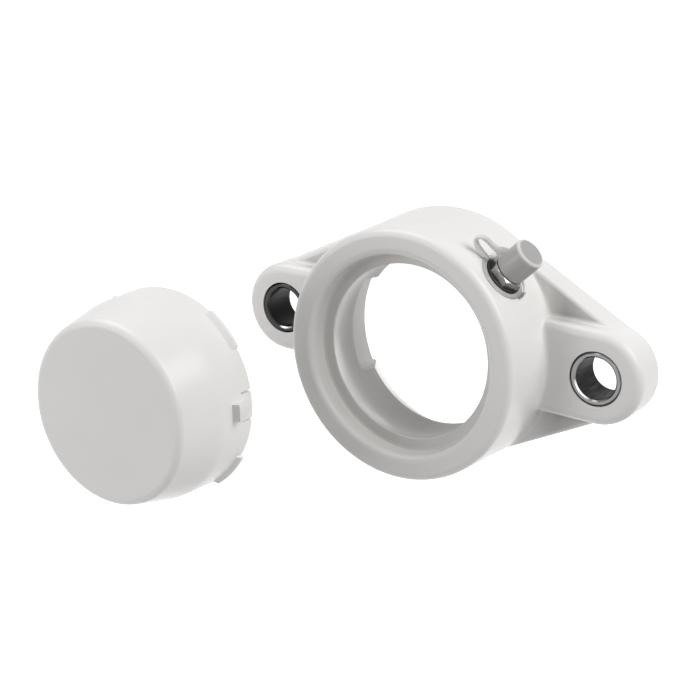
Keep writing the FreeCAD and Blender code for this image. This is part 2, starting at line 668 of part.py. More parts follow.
def make_cover():
    """The closed end cover, with beads and sprung lugs round its rim."""
    body = new_body("end_cover")
    rim = "(cover_seat_radius - cover_clearance)"
    sketch = new_sketch(body, "XY_Plane", "cover_profile")
    corners = [
        ("0", "-cover_length"),
        ("cover_front_radius", "-cover_length"),
        ("cover_skirt_radius", "-cover_skirt_length"),
        (rim, "0"),
        (f"{rim} - cover_wall", "0"),
        ("cover_skirt_radius - cover_wall", "-cover_skirt_length"),
        ("cover_front_radius - cover_wall", "cover_wall - cover_length"),
        ("0", "cover_wall - cover_length"),
    ]
    polygon(sketch, corners)
    turned(body, "Revolution", "cup", sketch, "V_Axis")
    end, wide = -SIZE["cover_length"], SIZE["cover_front_radius"]
    skirt_end, skirt_wide = -SIZE["cover_skirt_length"], SIZE["cover_skirt_radius"]
    round_edges(body, "cover_edge", "cover_round", lambda edge: is_ring(edge, end, wide))
    round_edges(body, "skirt_edge", "skirt_blend", lambda edge: is_ring(edge, skirt_end, skirt_wide))

    def skirt(ahead):
        """The skirt's outside at a distance from the rim."""
        return f"({rim} + (cover_skirt_radius - {rim}) * ({ahead}) / cover_skirt_length)"

    # Beads on both sides of a lug
    crest = "(cover_seat_radius + bead_overlap)"
    root = f"({skirt('bead_length')} - cover_wall / 2)"
    snaps = []
    for name, turn in (("upper_bead", "-snap_turn - bead_place"), ("lower_bead", "bead_place - snap_turn")):
        sketch = new_sketch(body, "XY_Plane", f"{name}_profile", turn=turn)
        corners = [
            (root, "0"),
            (rim, "0"),
            (crest, "-bead_length / 8"),
            (crest, "-bead_length / 2"),
            (skirt("bead_length"), "-bead_length"),
            (root, "-bead_length"),
        ]
        polygon(sketch, corners)
        snaps.append(turned(body, "Revolution", name, sketch, "V_Axis", angle="bead_angle"))

    # Lug: a ramp from the rim up to an upright end
    sketch = new_sketch(body, "XY_Plane", "lug_profile", turn="-snap_turn")
    lug_end = "lug_start + lug_length"
    corners = [
        (f"{skirt('lug_start')} - cover_wall / 2", "-lug_start"),
        (skirt("lug_start"), "-lug_start"),
        (f"{skirt(lug_end)} + lug_rise", "-lug_start - lug_length"),
        (f"{skirt(lug_end)} - cover_wall / 2", "-lug_start - lug_length"),
    ]
    polygon(sketch, corners)
    snaps.append(turned(body, "Revolution", "lug", sketch, "V_Axis", angle="lug_angle"))

    # Slits that let each lug spring
    sketch = new_sketch(body, "XZ_Plane", "slit_outline")
    inner = f"({rim} - cover_wall - overshoot)"
    outer = f"({rim} + overshoot)"
    half = "slit_width / 2"
    for lean in ("(snap_turn + tongue_angle / 2)", "(snap_turn - tongue_angle / 2)"):
        corners = []
        for along, side in ((inner, "-"), (outer, "-"), (outer, ""), (inner, "")):
            across = f"{along} * cos({lean}) - {side}({half}) * sin({lean})"
            height = f"{along} * sin({lean}) + {side}({half}) * cos({lean})"
            corners.append((across, height))
        polygon(sketch, corners)
    slit = feature(body, "Pocket", "slits", sketch, Length="slit_length")
    slit.Reversed = True
    snaps.append(slit)

    # The same round the rim
    ring = body.newObject("PartDesign::PolarPattern", "snap_ring")
    ring.Originals = snaps
    ring.Axis = (origin_part(body, "Y_Axis"), [""])
    ring.Angle = 360
    ring.setExpression("Occurrences", cell("snap_count"))
    body.Tip = ring

    body.setExpression("Placement.Base.x", cell("cover_across"))
    body.setExpression("Placement.Base.y", cell("-cover_ahead"))
    body.setExpression("Placement.Base.z", cell("cover_down"))
    return body


pieces = [
    make_housing(),
    make_sleeve("bolt_sleeve_left", -1),
    make_sleeve("bolt_sleeve_right", 1),
    make_insert(),
    make_nipple(),
    make_ball(),
    make_spring(),
    make_cap(),
    make_strap(),
    make_cover(),
]
doc.recompute()

for item in doc.Objects:
    if "Invalid" in item.State or "Error" in item.State:
        raise RuntimeError(f"{item.Name} did not build: {item.State}")

os.makedirs("parts", exist_ok=True)
for body in pieces:
    shape = body.Shape
    if shape.isNull() or not shape.isValid():
        raise RuntimeError(f"{body.Label} has no sound solid")
    shape.exportStep(f"parts/{body.Label}.step")
    box = shape.BoundBox
    spans = [round(span, 2) for span in (box.XMin, box.XMax, box.YMin, box.YMax, box.ZMin, box.ZMax)]
    print(body.Label, len(shape.Solids), round(shape.Volume, 2), spans)
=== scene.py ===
import math

import bpy
import bmesh
from mathutils import Matrix, Vector


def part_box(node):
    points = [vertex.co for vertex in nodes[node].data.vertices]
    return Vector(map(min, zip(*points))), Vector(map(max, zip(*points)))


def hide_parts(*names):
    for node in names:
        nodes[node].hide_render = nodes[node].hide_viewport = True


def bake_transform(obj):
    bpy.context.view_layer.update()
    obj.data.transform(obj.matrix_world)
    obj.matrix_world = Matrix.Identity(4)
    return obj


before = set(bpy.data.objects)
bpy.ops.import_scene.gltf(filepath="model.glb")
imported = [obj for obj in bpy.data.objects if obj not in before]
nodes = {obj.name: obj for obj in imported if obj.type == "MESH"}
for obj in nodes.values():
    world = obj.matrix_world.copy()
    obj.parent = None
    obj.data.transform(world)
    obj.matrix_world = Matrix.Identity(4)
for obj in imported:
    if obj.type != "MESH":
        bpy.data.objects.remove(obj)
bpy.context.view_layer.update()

MM = 0.001
WHITE = (1.0, 1.0, 1.0, 1.0)

# The part's own directions, from the middle of its mounting face: along the flange, along the bore and up
CENTRE = Vector()
FLANGE_AXIS = Vector((1.0, 0.0, 0.0))
BORE_AXIS = Vector((0.0, 1.0, 0.0))
UPWARDS = Vector((0.0, 0.0, 1.0))

# Camera: lens and viewing angles of the photograph, and the camera's place in metres
LENS_MM = 84.33
SENSOR_MM = 36.0
CAMERA_AZIMUTH = math.radians(33.21)
CAMERA_ELEVATION = math.radians(18.44)
CAMERA_ROLL = math.radians(1.836)
CAMERA_PLACE = Vector((0.1954, -0.3451, 0.1262))

# Light: direction towards each lamp, its strength in watts and the width of its disc in metres.
# The key stands above on the right, the fill in front on the left and the top lamp above on the left.
# The weak lamp at the back shows the mounting face.
LAMP_DISTANCE = 0.9
LAMPS = [
    ("key", Vector((0.72, -0.04, 0.66)), 7.0, 0.8),
    ("fill", Vector((-0.56, -0.81, 0.18)), 3.05, 0.7),
    ("top", Vector((-0.50, -0.10, 0.85)), 3.1, 0.7),
    ("back", Vector((0.0, 1.0, 0.05)), 1.7, 0.7),
]
WORLD_LEVEL = 0.04

# Floor: height and half width in metres, colour, and how white it is where it is seen
FLOOR_HEIGHT = -0.22
FLOOR_HALF = 3.0
FLOOR_COLOUR = (0.60, 0.60, 0.60, 1.0)
FLOOR_ROUGHNESS = 0.9
FLOOR_GLOW = 0.92

# Grease port: the nipple's axis, with its foot on the flat round the nipple, the check ball's height above
# that foot in millimetres, and the strap's lean
PORT_ANGLE = math.radians(45.0)
PORT_UP = Vector((math.cos(PORT_ANGLE), 0.0, math.sin(PORT_ANGLE)))
PORT_SIDE = Vector((math.sin(PORT_ANGLE), 0.0, -math.cos(PORT_ANGLE)))
BALL_HEIGHT = 6.551
STRAP_TURN = math.radians(15.0)


def middle(node):
    """The middle of a node's box."""
    low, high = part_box(node)
    return (Vector(low) + Vector(high)) / 2


PORT_ORIGIN = middle("nipple_ball") - MM * BALL_HEIGHT * PORT_UP


def on_port(across, along, up):
    """A point of the nipple's own frame, in millimetres, as a point of the part's frame in metres."""
    return PORT_ORIGIN + MM * (across * PORT_SIDE + along * BORE_AXIS + up * PORT_UP)


def on_strap(reach, aside, up):
    """A point of the strap's own upright plane, which leans round the nipple towards the front."""
    across = aside * math.sin(STRAP_TURN) - reach * math.cos(STRAP_TURN)
    along = -reach * math.sin(STRAP_TURN) - aside * math.cos(STRAP_TURN)
    return on_port(across, along, up)


def in_mm(*values):
    """Millimetres as metres."""
    return tuple(value * MM for value in values)


class Paint:
    """A material's nodes, with short calls to add and join them."""

    def __init__(self, name):
        self.material = bpy.data.materials.new(name)
        self.material.use_nodes = True
        self.tree = self.material.node_tree
        self.shader = self.tree.nodes["Principled BSDF"]

    def add(self, kind, **values):
        node = self.tree.nodes.new(kind)
        for key, value in values.items():
            setattr(node, key, value)
        return node

    def join(self, source, target):
        self.tree.links.new(source, target)

    def feed(self, value, target):
        """Joins another node's output to a socket, or sets a plain value on it."""
        if isinstance(value, bpy.types.NodeSocket):
            self.join(value, target)
        else:
            target.default_value = value

    def place(self):
        """Object coordinates, in metres."""
        return self.add("ShaderNodeTexCoord").outputs["Object"]

    def vectors(self, operation, first, second):
        node = self.add("ShaderNodeVectorMath", operation=operation)
        self.feed(first, node.inputs[0])
        self.feed(second, node.inputs[1])
        return node

    def place_from(self, start):
        """Object coordinates measured from a point, in metres."""
        return self.vectors("SUBTRACT", self.place(), start).outputs["Vector"]

    def along(self, start, direction):
        """How far a point lies along an axis, in metres."""
        return self.vectors("DOT_PRODUCT", self.place_from(start), direction).outputs["Value"]

    def facing(self, direction):
        """Cosine between the surface's own direction and a fixed one."""
        normal = self.add("ShaderNodeTexCoord").outputs["Normal"]
        return self.vectors("DOT_PRODUCT", normal, direction).outputs["Value"]

    def across_axis(self, start, direction):
        """Where a point lies across an axis, in metres, whatever its place along it."""
        return self.vectors("CROSS_PRODUCT", self.place_from(start), direction).outputs["Vector"]

    def off_axis(self, start, direction):
        """How far a point lies from an axis, in metres."""
        length = self.add("ShaderNodeVectorMath", operation="LENGTH")
        self.join(self.across_axis(start, direction), length.inputs[0])
        return length.outputs["Value"]

    def openness(self, reach):
        """One on open surfaces, and less the more a place is shut in within a given reach."""
        node = self.add("ShaderNodeAmbientOcclusion")
        node.inputs["Distance"].default_value = reach
        return node.outputs["AO"]

    def noise(self, scale, detail=2.0, rough=0.5, place=None):
        node = self.add("ShaderNodeTexNoise")
        node.inputs["Scale"].default_value = scale
        node.inputs["Detail"].default_value = detail
        node.inputs["Roughness"].default_value = rough
        self.join(place or self.place(), node.inputs["Vector"])
        return node.outputs["Fac"]

    def sums(self, operation, first, second=0.0):
        node = self.add("ShaderNodeMath", operation=operation)
        self.feed(first, node.inputs[0])
        self.feed(second, node.inputs[1])
        return node.outputs[0]

    def both(self, first, second):
        """The share that two masks have in common."""
        return self.sums("MULTIPLY", first, second)

    def spread(self, value, onto, run=(0.0, 1.0)):
        """Maps a run of values onto another one, clamped at both ends."""
        node = self.add("ShaderNodeMapRange")
        node.inputs["From Min"].default_value, node.inputs["From Max"].default_value = run
        node.inputs["To Min"].default_value, node.inputs["To Max"].default_value = onto
        self.join(value, node.inputs["Value"])
        return node.outputs["Result"]

    def rise(self, value, run, top=1.0):
        """A mask that goes up from nothing over a run of values."""
        return self.spread(value, (0.0, top), run)

    def fall(self, value, run):
        """A mask that goes down to nothing over a run of values."""
        return self.spread(value, (1.0, 0.0), run)

    def colours(self, factor, first, second):
        """The second colour laid over the first one by a mask."""
        node = self.add("ShaderNodeMix", data_type="RGBA")
        self.join(factor, node.inputs["Factor"])
        self.feed(first, node.inputs["A"])
        self.feed(second, node.inputs["B"])
        return node.outputs["Result"]

    def bump(self, height, strength, distance):
        node = self.add("ShaderNodeBump")
        node.inputs["Strength"].default_value = strength
        node.inputs["Distance"].default_value = distance
        self.join(height, node.inputs["Height"])
        return node.outputs["Normal"]

    def finish(self, colour, rough, normal, **sockets):
        """Joins colour, roughness and relief to the shader, and sets other sockets to plain values."""
        self.join(colour, self.shader.inputs["Base Color"])
        self.join(rough, self.shader.inputs["Roughness"])
        self.join(normal, self.shader.inputs["Normal"])
        for name, value in sockets.items():
            self.shader.inputs[name.replace("_", " ")].default_value = value
        return self.material


# How much more red than green the cap's grey holds
ROSE = 0.04


def grey(level, warm=0.0):
    """A grey, tinted a little towards yellow where it is warm."""
    return (level * (1 + warm), level, level * (1 - warm), 1.0)


def rosy(level):
    """A grey, tinted a little towards red."""
    return (level * (1 + ROSE), level, level, 1.0)


# The run in which most of a noise's values lie
NOISE_RUN = (0.3, 0.7)

# White plastic. The scale of a noise is how often it changes in a metre.
HOUSING_LIGHT, HOUSING_DARK = grey(0.87, 0.019), grey(0.84, 0.022)
COVER_LIGHT, COVER_DARK = grey(0.89, 0.019), grey(0.86, 0.022)
FLOW_MARKS = {"scale": 45.0, "detail": 3.0, "rough": 0.55}
GRAIN = {"scale": 3500.0, "detail": 2.0, "rough": 0.6}
GRAIN_STRENGTH, GRAIN_DEPTH = 0.12, 0.02 * MM
GLOSS_PATCHES = {"scale": 160.0, "detail": 3.0}
WHITE_ROUGHNESS = (0.20, 0.265)
WHITE_SPECULAR = 0.36

# Painted shade in the hollows of the ears, darker the more shut in a place is: how far round a place the
# plastic is looked for, how open a deep place and an open one are, and how far out and up from the bore's
# axis the hollows begin
HOLLOW_SHADE_COLOUR = grey(0.37, 0.02)
HOLLOW_REACH = 16 * MM
HOLLOW_RUN = (0.42, 0.90)
HOLLOW_PLACES = [
    (FLANGE_AXIS, in_mm(29, 34)),
    (UPWARDS, in_mm(9, 12)),
]

# Painted shade in the bore, laid in faint rings: the seat, its lip and the floor of the cover's recess,
# nearly out to the recess's wall
BORE_SHADE_COLOUR = grey(0.68, 0.02)
MARKS_PER_METRE = 1600.0
MARKS = {"scale": 1.0, "detail": 2.0, "rough": 0.6}
MARK_RUN = (0.40, 0.65)
BORE_SHADE_SHARES = (0.4, 0.85)
BORE_EDGE = in_mm(24.2, 24.6)


def moulded_plastic(name, light, dark):
    """Satin moulded plastic: faint flow marks, fine grain and uneven gloss."""
    paint = Paint(name)
    colour = paint.colours(paint.rise(paint.noise(**FLOW_MARKS), NOISE_RUN), dark, light)
    rough = paint.spread(paint.noise(**GLOSS_PATCHES), WHITE_ROUGHNESS, NOISE_RUN)
    normal = paint.bump(paint.noise(**GRAIN), GRAIN_STRENGTH, GRAIN_DEPTH)
    return paint, colour, rough, normal


def housing_plastic(name):
    """The housing's plastic, with painted shade in the hollows of its ears and, in faint rings, in its
    bore.
    """
    paint, colour, rough, normal = moulded_plastic(name, HOUSING_LIGHT, HOUSING_DARK)
    # Painted shade in the hollows of the ears
    hollow_shade = paint.fall(paint.openness(HOLLOW_REACH), HOLLOW_RUN)
    for direction, run in HOLLOW_PLACES:
        away = paint.sums("ABSOLUTE", paint.along(CENTRE, direction))
        hollow_shade = paint.both(hollow_shade, paint.rise(away, run))
    colour = paint.colours(hollow_shade, colour, HOLLOW_SHADE_COLOUR)
    # Painted shade in the bore, laid in faint rings
    depth = paint.sums("MULTIPLY", paint.along(CENTRE, BORE_AXIS), MARKS_PER_METRE)
    marks = paint.spread(paint.noise(**MARKS, place=depth), BORE_SHADE_SHARES, MARK_RUN)
    in_bore = paint.fall(paint.off_axis(CENTRE, BORE_AXIS), BORE_EDGE)
    colour = paint.colours(paint.both(marks, in_bore), colour, BORE_SHADE_COLOUR)
    return paint.finish(colour, rough, normal, Specular_IOR_Level=WHITE_SPECULAR)


def cover_plastic(name):
    """The end cover's plastic, plain all over."""
    paint, colour, rough, normal = moulded_plastic(name, COVER_LIGHT, COVER_DARK)
    return paint.finish(colour, rough, normal, Specular_IOR_Level=WHITE_SPECULAR)


# Milky plastic of the cap and the strap: clouds, with how far they shift a border, gloss and grain
CLOUDS = {"scale": 700.0, "detail": 3.0}
CLOUD_SHIFT = in_mm(-1.5, 1.5)
MILKY_PATCHES = {"scale": 500.0, "detail": 2.0}
MILKY_ROUGHNESS = (0.28, 0.42)
MILKY_GRAIN = {"scale": 2500.0, "detail": 2.0}
MILKY_STRENGTH, MILKY_DEPTH = 0.15, 0.03 * MM

# Dust cap: greys along it, streaks, painted shade on the flat end and a painted highlight round the rim,
# with where each one begins and is full
CAP_LOW, CAP_HIGH = rosy(0.36), rosy(0.40)
CAP_RUN = in_mm(3.0, 9.5)
CAP_STREAKS = {"scale": 380.0, "detail": 2.0, "rough": 0.5}
CAP_STREAK, CAP_STREAK_SHARE = rosy(0.51), 0.35
CAP_STREAK_RUN = (0.35, 0.65)
CAP_END_SHADE = rosy(0.37)
CAP_END_RUN = (0.90, 0.99)
CAP_RIM_HIGHLIGHT, CAP_RIM_HIGHLIGHT_SHARE = rosy(0.74), 0.8
CAP_RIM_HEIGHT, CAP_RIM_RADIUS = in_mm(9.3, 9.9), in_mm(3.1, 3.65)
CAP_SOFT = {"Subsurface_Weight": 0.5, "Subsurface_Scale": 2 * MM, "Subsurface_Radius": WHITE[:3]}

# Strap: greys from its loop to the cap and of its ring, and the painted shade of its tail, with where each
# one begins and ends
STRAP_LOOP, STRAP_JOINT = grey(0.76, 0.008), grey(0.49, 0.008)
STRAP_RUN = in_mm(3.4, 5.2)
STRAP_RING, STRAP_TAIL_SHADE = grey(0.47, 0.008), grey(0.34, 0.008)
STRAP_RING_HEIGHT, STRAP_RING_RADIUS = in_mm(0.7, 1.3), in_mm(6.2, 6.6)
STRAP_TAIL_RUN = in_mm(5.0, 5.8)
STRAP_SOFT = {"Subsurface_Weight": 0.3, "Subsurface_Scale": MM, "Subsurface_Radius": WHITE[:3]}


def milky_plastic(name, low, high, run):
    """Soft, milky plastic whose colour changes along the nipple's axis."""
    paint = Paint(name)
    shift = paint.spread(paint.noise(**CLOUDS), CLOUD_SHIFT)
    share = paint.rise(paint.sums("ADD", paint.along(PORT_ORIGIN, PORT_UP), shift), run)
    rough = paint.spread(paint.noise(**MILKY_PATCHES), MILKY_ROUGHNESS, NOISE_RUN)
    normal = paint.bump(paint.noise(**MILKY_GRAIN), MILKY_STRENGTH, MILKY_DEPTH)
    return paint, paint.colours(share, low, high), rough, normal


def cap_plastic(name):
    """The dust cap: milky grey with faint streaks along it, painted shade on its flat end and a painted
    highlight round the edge of its end.
    """
    paint, colour, rough, normal = milky_plastic(name, CAP_LOW, CAP_HIGH, CAP_RUN)
    streaks = paint.noise(**CAP_STREAKS, place=paint.across_axis(PORT_ORIGIN, PORT_UP))
    colour = paint.colours(paint.rise(streaks, CAP_STREAK_RUN, CAP_STREAK_SHARE), colour, CAP_STREAK)
    # Painted shade on the flat end
    colour = paint.colours(paint.rise(paint.facing(PORT_UP), CAP_END_RUN), colour, CAP_END_SHADE)
    # Painted highlight round the edge of the end
    near_end = paint.rise(paint.along(PORT_ORIGIN, PORT_UP), CAP_RIM_HEIGHT)
    outside = paint.rise(paint.off_axis(PORT_ORIGIN, PORT_UP), CAP_RIM_RADIUS, CAP_RIM_HIGHLIGHT_SHARE)
    colour = paint.colours(paint.both(near_end, outside), colour, CAP_RIM_HIGHLIGHT)
    return paint.finish(colour, rough, normal, **CAP_SOFT)


def strap_plastic(name):
    """The strap: clear and pale along its loop, greyer on its ring and at the cap, and with painted shade
    on its tail.
    """
    paint, colour, rough, normal = milky_plastic(name, STRAP_LOOP, STRAP_JOINT, STRAP_RUN)
    low = paint.fall(paint.along(PORT_ORIGIN, PORT_UP), STRAP_RING_HEIGHT)
    ring = paint.fall(paint.off_axis(PORT_ORIGIN, PORT_UP), STRAP_RING_RADIUS)
    colour = paint.colours(paint.both(low, ring), colour, STRAP_RING)
    # Painted shade on the tail
    tail = paint.rise(paint.along(PORT_ORIGIN, PORT_SIDE), STRAP_TAIL_RUN)
    colour = paint.colours(tail, colour, STRAP_TAIL_SHADE)
    return paint.finish(colour, rough, normal, **STRAP_SOFT)


# Turned metals: light and dark greys, middle roughness and, on the nipple, the grey of a painted highlight
# on its top
INSERT_METAL = {"light": grey(0.055, 0.01), "dark": grey(0.032, 0.01), "rough": 0.32}
NIPPLE_METAL = {"light": grey(0.31, 0.01), "dark": grey(0.21, 0.01), "rough": 0.26, "top_highlight": grey(0.62)}
BALL_METAL = {"light": grey(0.60), "dark": grey(0.52), "rough": 0.16}
SPRING_METAL = {"light": grey(0.50), "dark": grey(0.42), "rough": 0.30}
RINGS_PER_METRE = 9000.0
RINGS = {"scale": 1.0, "detail": 3.0, "rough": 0.7}
RING_STRENGTH, RING_DEPTH = 0.25, 0.02 * MM
RING_SMOOTHER, RING_ROUGHER = 0.07, 0.09
DULL_PATCHES = {"scale": 700.0, "detail": 3.0, "rough": 0.6}
# Painted highlight on the nipple's top: its patches, where they begin and how much they show, and how
# squarely a face looks up
HIGHLIGHT_PATCHES = {"scale": 2200.0, "detail": 1.0}
HIGHLIGHT_RUN = (0.50, 0.60)
HIGHLIGHT_SHARES = (0.1, 1.0)
TOP_RUN = (0.80, 0.97)


def turned_metal(name, light, dark, rough, top_highlight=None):
    """Machined metal: fine rings round the nipple's axis, dull patches, and a painted highlight on the top
    if wanted.
    """
    paint = Paint(name)
    depth = paint.sums("MULTIPLY", paint.along(PORT_ORIGIN, PORT_UP), RINGS_PER_METRE)
    rings = paint.noise(**RINGS, place=depth)
    colour = paint.colours(paint.rise(paint.noise(**DULL_PATCHES), NOISE_RUN), dark, light)
    if top_highlight:
        # Painted highlight on the top, broken into patches
        patches = paint.spread(paint.noise(**HIGHLIGHT_PATCHES), HIGHLIGHT_SHARES, HIGHLIGHT_RUN)
        on_top = paint.rise(paint.facing(PORT_UP), TOP_RUN)
        colour = paint.colours(paint.both(on_top, patches), colour, top_highlight)
    uneven = paint.spread(rings, (rough - RING_SMOOTHER, rough + RING_ROUGHER), NOISE_RUN)
    normal = paint.bump(rings, RING_STRENGTH, RING_DEPTH)
    return paint.finish(colour, uneven, normal, Metallic=1.0)


# Bolt sleeves: the foot of each axis, greys of the cut end, which differ between the sleeves as painted
# shade and light, and of the bore's streaks, how much painted shade lies on one side of the bore, which way
# the bore's edge faces where a painted highlight lies on it, and its grey there
BOLT_REACH = 45 * MM
LEFT_STEEL = {
    "foot": -BOLT_REACH * FLANGE_AXIS,
    # The left sleeve's cut end is darker than the right one's, as painted shade
    "end": grey(0.045),
    "light": grey(0.105),
    "dark": grey(0.060),
    "shade_share": 1.0,
    "highlight_side": Vector((-0.25, -0.7, 0.66)),
    "highlight_grey": grey(0.5),
}
RIGHT_STEEL = {
    "foot": BOLT_REACH * FLANGE_AXIS,
    # The right sleeve's cut end is lighter than the left one's, as painted light
    "end": grey(0.21),
    "light": grey(0.12),
    "dark": grey(0.004),
    "shade_share": 0.75,
    "highlight_side": Vector((0.5, -0.7, 0.5)),
    "highlight_grey": grey(0.95),
}

# Steel of both sleeves: roughness of the bore and of the cut ends, streaks round and along the bore, the
# side and reach of the bore's painted shade, how squarely a cut end faces along the bore, the painted
# highlight on the bore's edge and the painted shade in the seam round the sleeve
STEEL_ROUGHNESS = (0.32, 0.16)
STEEL_TINT = grey(0.6)
STREAKS_ROUND, STREAKS_ALONG = 18.0, 150.0
STREAKS = {"scale": 1.0, "detail": 3.0, "rough": 0.65}
STREAK_RUN = (0.40, 0.60)
STREAK_STRENGTH, STREAK_DEPTH = 0.3, 0.04 * MM
SLEEVE_SHADE_COLOUR = grey(0.012)
SLEEVE_SHADE_SIDE = Vector((-0.8, 0.0, -0.6))
SLEEVE_SHADE_RUN = in_mm(1.5, 5.2)
CUT_RUN = (0.20, 0.40)
EDGE_HIGHLIGHT_RUN = (0.91, 0.97)
EDGE_HIGHLIGHT_RADIUS = in_mm(5.85, 5.95)
SLEEVE_RADIUS = 6.75
SEAM_START, SEAM_FULL = 0.14, 0.08
SEAM_SHADE_RADIUS = in_mm(SLEEVE_RADIUS - SEAM_START, SLEEVE_RADIUS - SEAM_FULL)


def drawn_steel(name, foot, end, light, dark, shade_share, highlight_side, highlight_grey):
    """A bolt sleeve's steel: dark along its bore, with fine streaks and painted shade on one side, a grey
    of its own on its cut ends, a painted highlight on an arc of the bore's edge and painted shade in the
    seam round it.
    """
    paint = Paint(name)
    parts = paint.add("ShaderNodeSeparateXYZ")
    paint.join(paint.place(), parts.inputs[0])
    across = paint.sums("SUBTRACT", parts.outputs["X"], foot.x)
    angle = paint.sums("ARCTAN2", parts.outputs["Z"], across)
    unrolled = paint.add("ShaderNodeCombineXYZ")
    paint.join(paint.sums("MULTIPLY", angle, STREAKS_ROUND), unrolled.inputs["X"])
    paint.join(paint.sums("MULTIPLY", parts.outputs["Y"], STREAKS_ALONG), unrolled.inputs["Y"])
    streaks = paint.noise(**STREAKS, place=unrolled.outputs[0])
    bore = paint.colours(paint.rise(streaks, STREAK_RUN), dark, light)
    # Painted shade on one side of the bore
    bore = paint.colours(paint.rise(paint.along(foot, SLEEVE_SHADE_SIDE), SLEEVE_SHADE_RUN, shade_share), bore, SLEEVE_SHADE_COLOUR)
    cut = paint.rise(paint.sums("ABSOLUTE", paint.facing(BORE_AXIS)), CUT_RUN)
    radius = paint.off_axis(foot, BORE_AXIS)
    # Painted highlight on an arc of the bore's edge
    on_edge = paint.fall(radius, EDGE_HIGHLIGHT_RADIUS)
    edge_highlight = paint.both(paint.rise(paint.facing(highlight_side.normalized()), EDGE_HIGHLIGHT_RUN), on_edge)
    colour = paint.colours(edge_highlight, paint.colours(cut, bore, end), highlight_grey)
    # Painted shade in the seam between the sleeve and the plastic
    colour = paint.colours(paint.rise(radius, SEAM_SHADE_RADIUS), colour, dark)
    rough = paint.spread(cut, STEEL_ROUGHNESS)
    relief = paint.both(streaks, paint.sums("SUBTRACT", 1.0, cut))
    normal = paint.bump(relief, STREAK_STRENGTH, STREAK_DEPTH)
    return paint.finish(colour, rough, normal, Metallic=1.0, Specular_Tint=STEEL_TINT)


def dress(piece, material):
    piece.data.materials.clear()
    piece.data.materials.append(material)


dress(nodes["housing"], housing_plastic("housing_white"))
dress(nodes["end_cover"], cover_plastic("cover_white"))
dress(nodes["bolt_sleeve_left"], drawn_steel("left_steel", **LEFT_STEEL))
dress(nodes["bolt_sleeve_right"], drawn_steel("right_steel", **RIGHT_STEEL))
dress(nodes["grease_port_insert"], turned_metal("insert_metal", **INSERT_METAL))
dress(nodes["nipple_body"], turned_metal("nipple_metal", **NIPPLE_METAL))
dress(nodes["nipple_ball"], turned_metal("ball_metal", **BALL_METAL))
dress(nodes["nipple_cap"], cap_plastic("cap_grey"))


def skin(shape, loops, joined=False):
    """Faces between closed loops of points, which are joined round into a ring or shut at both ends."""
    pairs = list(zip(loops, loops[1:]))
    if joined:
        pairs.append((loops[-1], loops[0]))
    for first, second in pairs:
        for step in range(len(first)):
            after = (step + 1) % len(first)
            shape.faces.new((first[step], first[after], second[after], second[step]))
    if not joined:
        shape.faces.new(loops[0][::-1])
        shape.faces.new(loops[-1])


def lathe(shape, profile, steps):
    """A closed ring round the nipple's axis, from a closed profile of radius and height."""
    loops = []
    for step in range(steps):
        angle = math.tau * step / steps
        across, along = math.cos(angle), math.sin(angle)
        loops.append([shape.verts.new(on_port(r * across, r * along, up)) for r, up in profile])
    skin(shape, loops, joined=True)


def smooth_route(points, steps):
    """A smooth run of rows of numbers through given ones, by uniform Catmull-Rom spans."""
    rows = [Vector(point) for point in points]
    rows = [2 * rows[0] - rows[1]] + rows + [2 * rows[-1] - rows[-2]]
    route = []
    for before, start, end, after in zip(rows, rows[1:], rows[2:], rows[3:]):
        for step in range(steps):
            share = step / steps
            turn = (end - before) * share + (2 * before - 5 * start + 4 * end - after) * share ** 2
            route.append(start + (turn + (3 * start - before - 3 * end + after) * share ** 3) / 2)
    return route + [rows[-2]]


# Power that makes a circle's coordinates into those of a section between a circle and a square
SECTION_POWER = 0.7


def squared(value):
    """Pushes a circle's coordinate outwards."""
    return math.copysign(abs(value) ** SECTION_POWER, value)


def sweep(shape, route, sides):
    """A closed bar of rounded section along the strap's upright plane."""
    loops = []
    for step, (reach, up, width, thickness) in enumerate(route):
        before = route[max(step - 1, 0)]
        after = route[min(step + 1, len(route) - 1)]
        run = Vector((after[0] - before[0], after[1] - before[1])).normalized()
        loop = []
        for side in range(sides):
            angle = math.tau * side / sides
            lift = squared(math.sin(angle)) * thickness / 2
            aside = squared(math.cos(angle)) * width / 2
            loop.append(shape.verts.new(on_strap(reach - run.y * lift, aside, up + run.x * lift)))
        loops.append(loop)
    skin(shape, loops)


def as_object(name, shape):
    """A new object from a shape, with its faces turned outwards."""
    bmesh.ops.recalc_face_normals(shape, faces=shape.faces)
    mesh = bpy.data.meshes.new(name)
    shape.to_mesh(mesh)
    shape.free()
    made = bpy.data.objects.new(name, mesh)
    bpy.context.collection.objects.link(made)
    return made


def shade_smooth(mesh):
    for face in mesh.polygons:
        face.use_smooth = True


def apply_modifiers(made):
    """Keeps what an object's modifiers make of it as its own mesh."""
    graph = bpy.context.evaluated_depsgraph_get()
    mesh = bpy.data.meshes.new_from_object(made.evaluated_get(graph))
    made.modifiers.clear()
    made.data = mesh
    shade_smooth(mesh)


# Strap of the dust cap: a ring round the nipple's foot, a tail, and a loop up to the cap's side.
# Sizes in millimetres, in the nipple's own frame.
RING_IN, RING_OUT, RING_TOP = 4.95, 6.2, 0.5
RING_SHOULDER, RING_RIM, RING_FOOT = 5.55, 0.16, -0.12
RING_SOFT = 0.15
RING_STEPS = 96
RING_MIDDLE = (RING_IN + RING_OUT) / 2
STRAP_SIDES = 24
STRAP_STEPS = 12
STRAP_VOXEL = 0.1
STRAP_SMOOTHING = 5

# Radius and height round the ring's section
RING_PROFILE = [
    (RING_IN, RING_FOOT),
    (RING_OUT, RING_FOOT),
    (RING_OUT, RING_RIM),
    (RING_SHOULDER, RING_TOP),
    (RING_IN + RING_SOFT, RING_TOP),
    (RING_IN, RING_TOP - RING_SOFT),
]

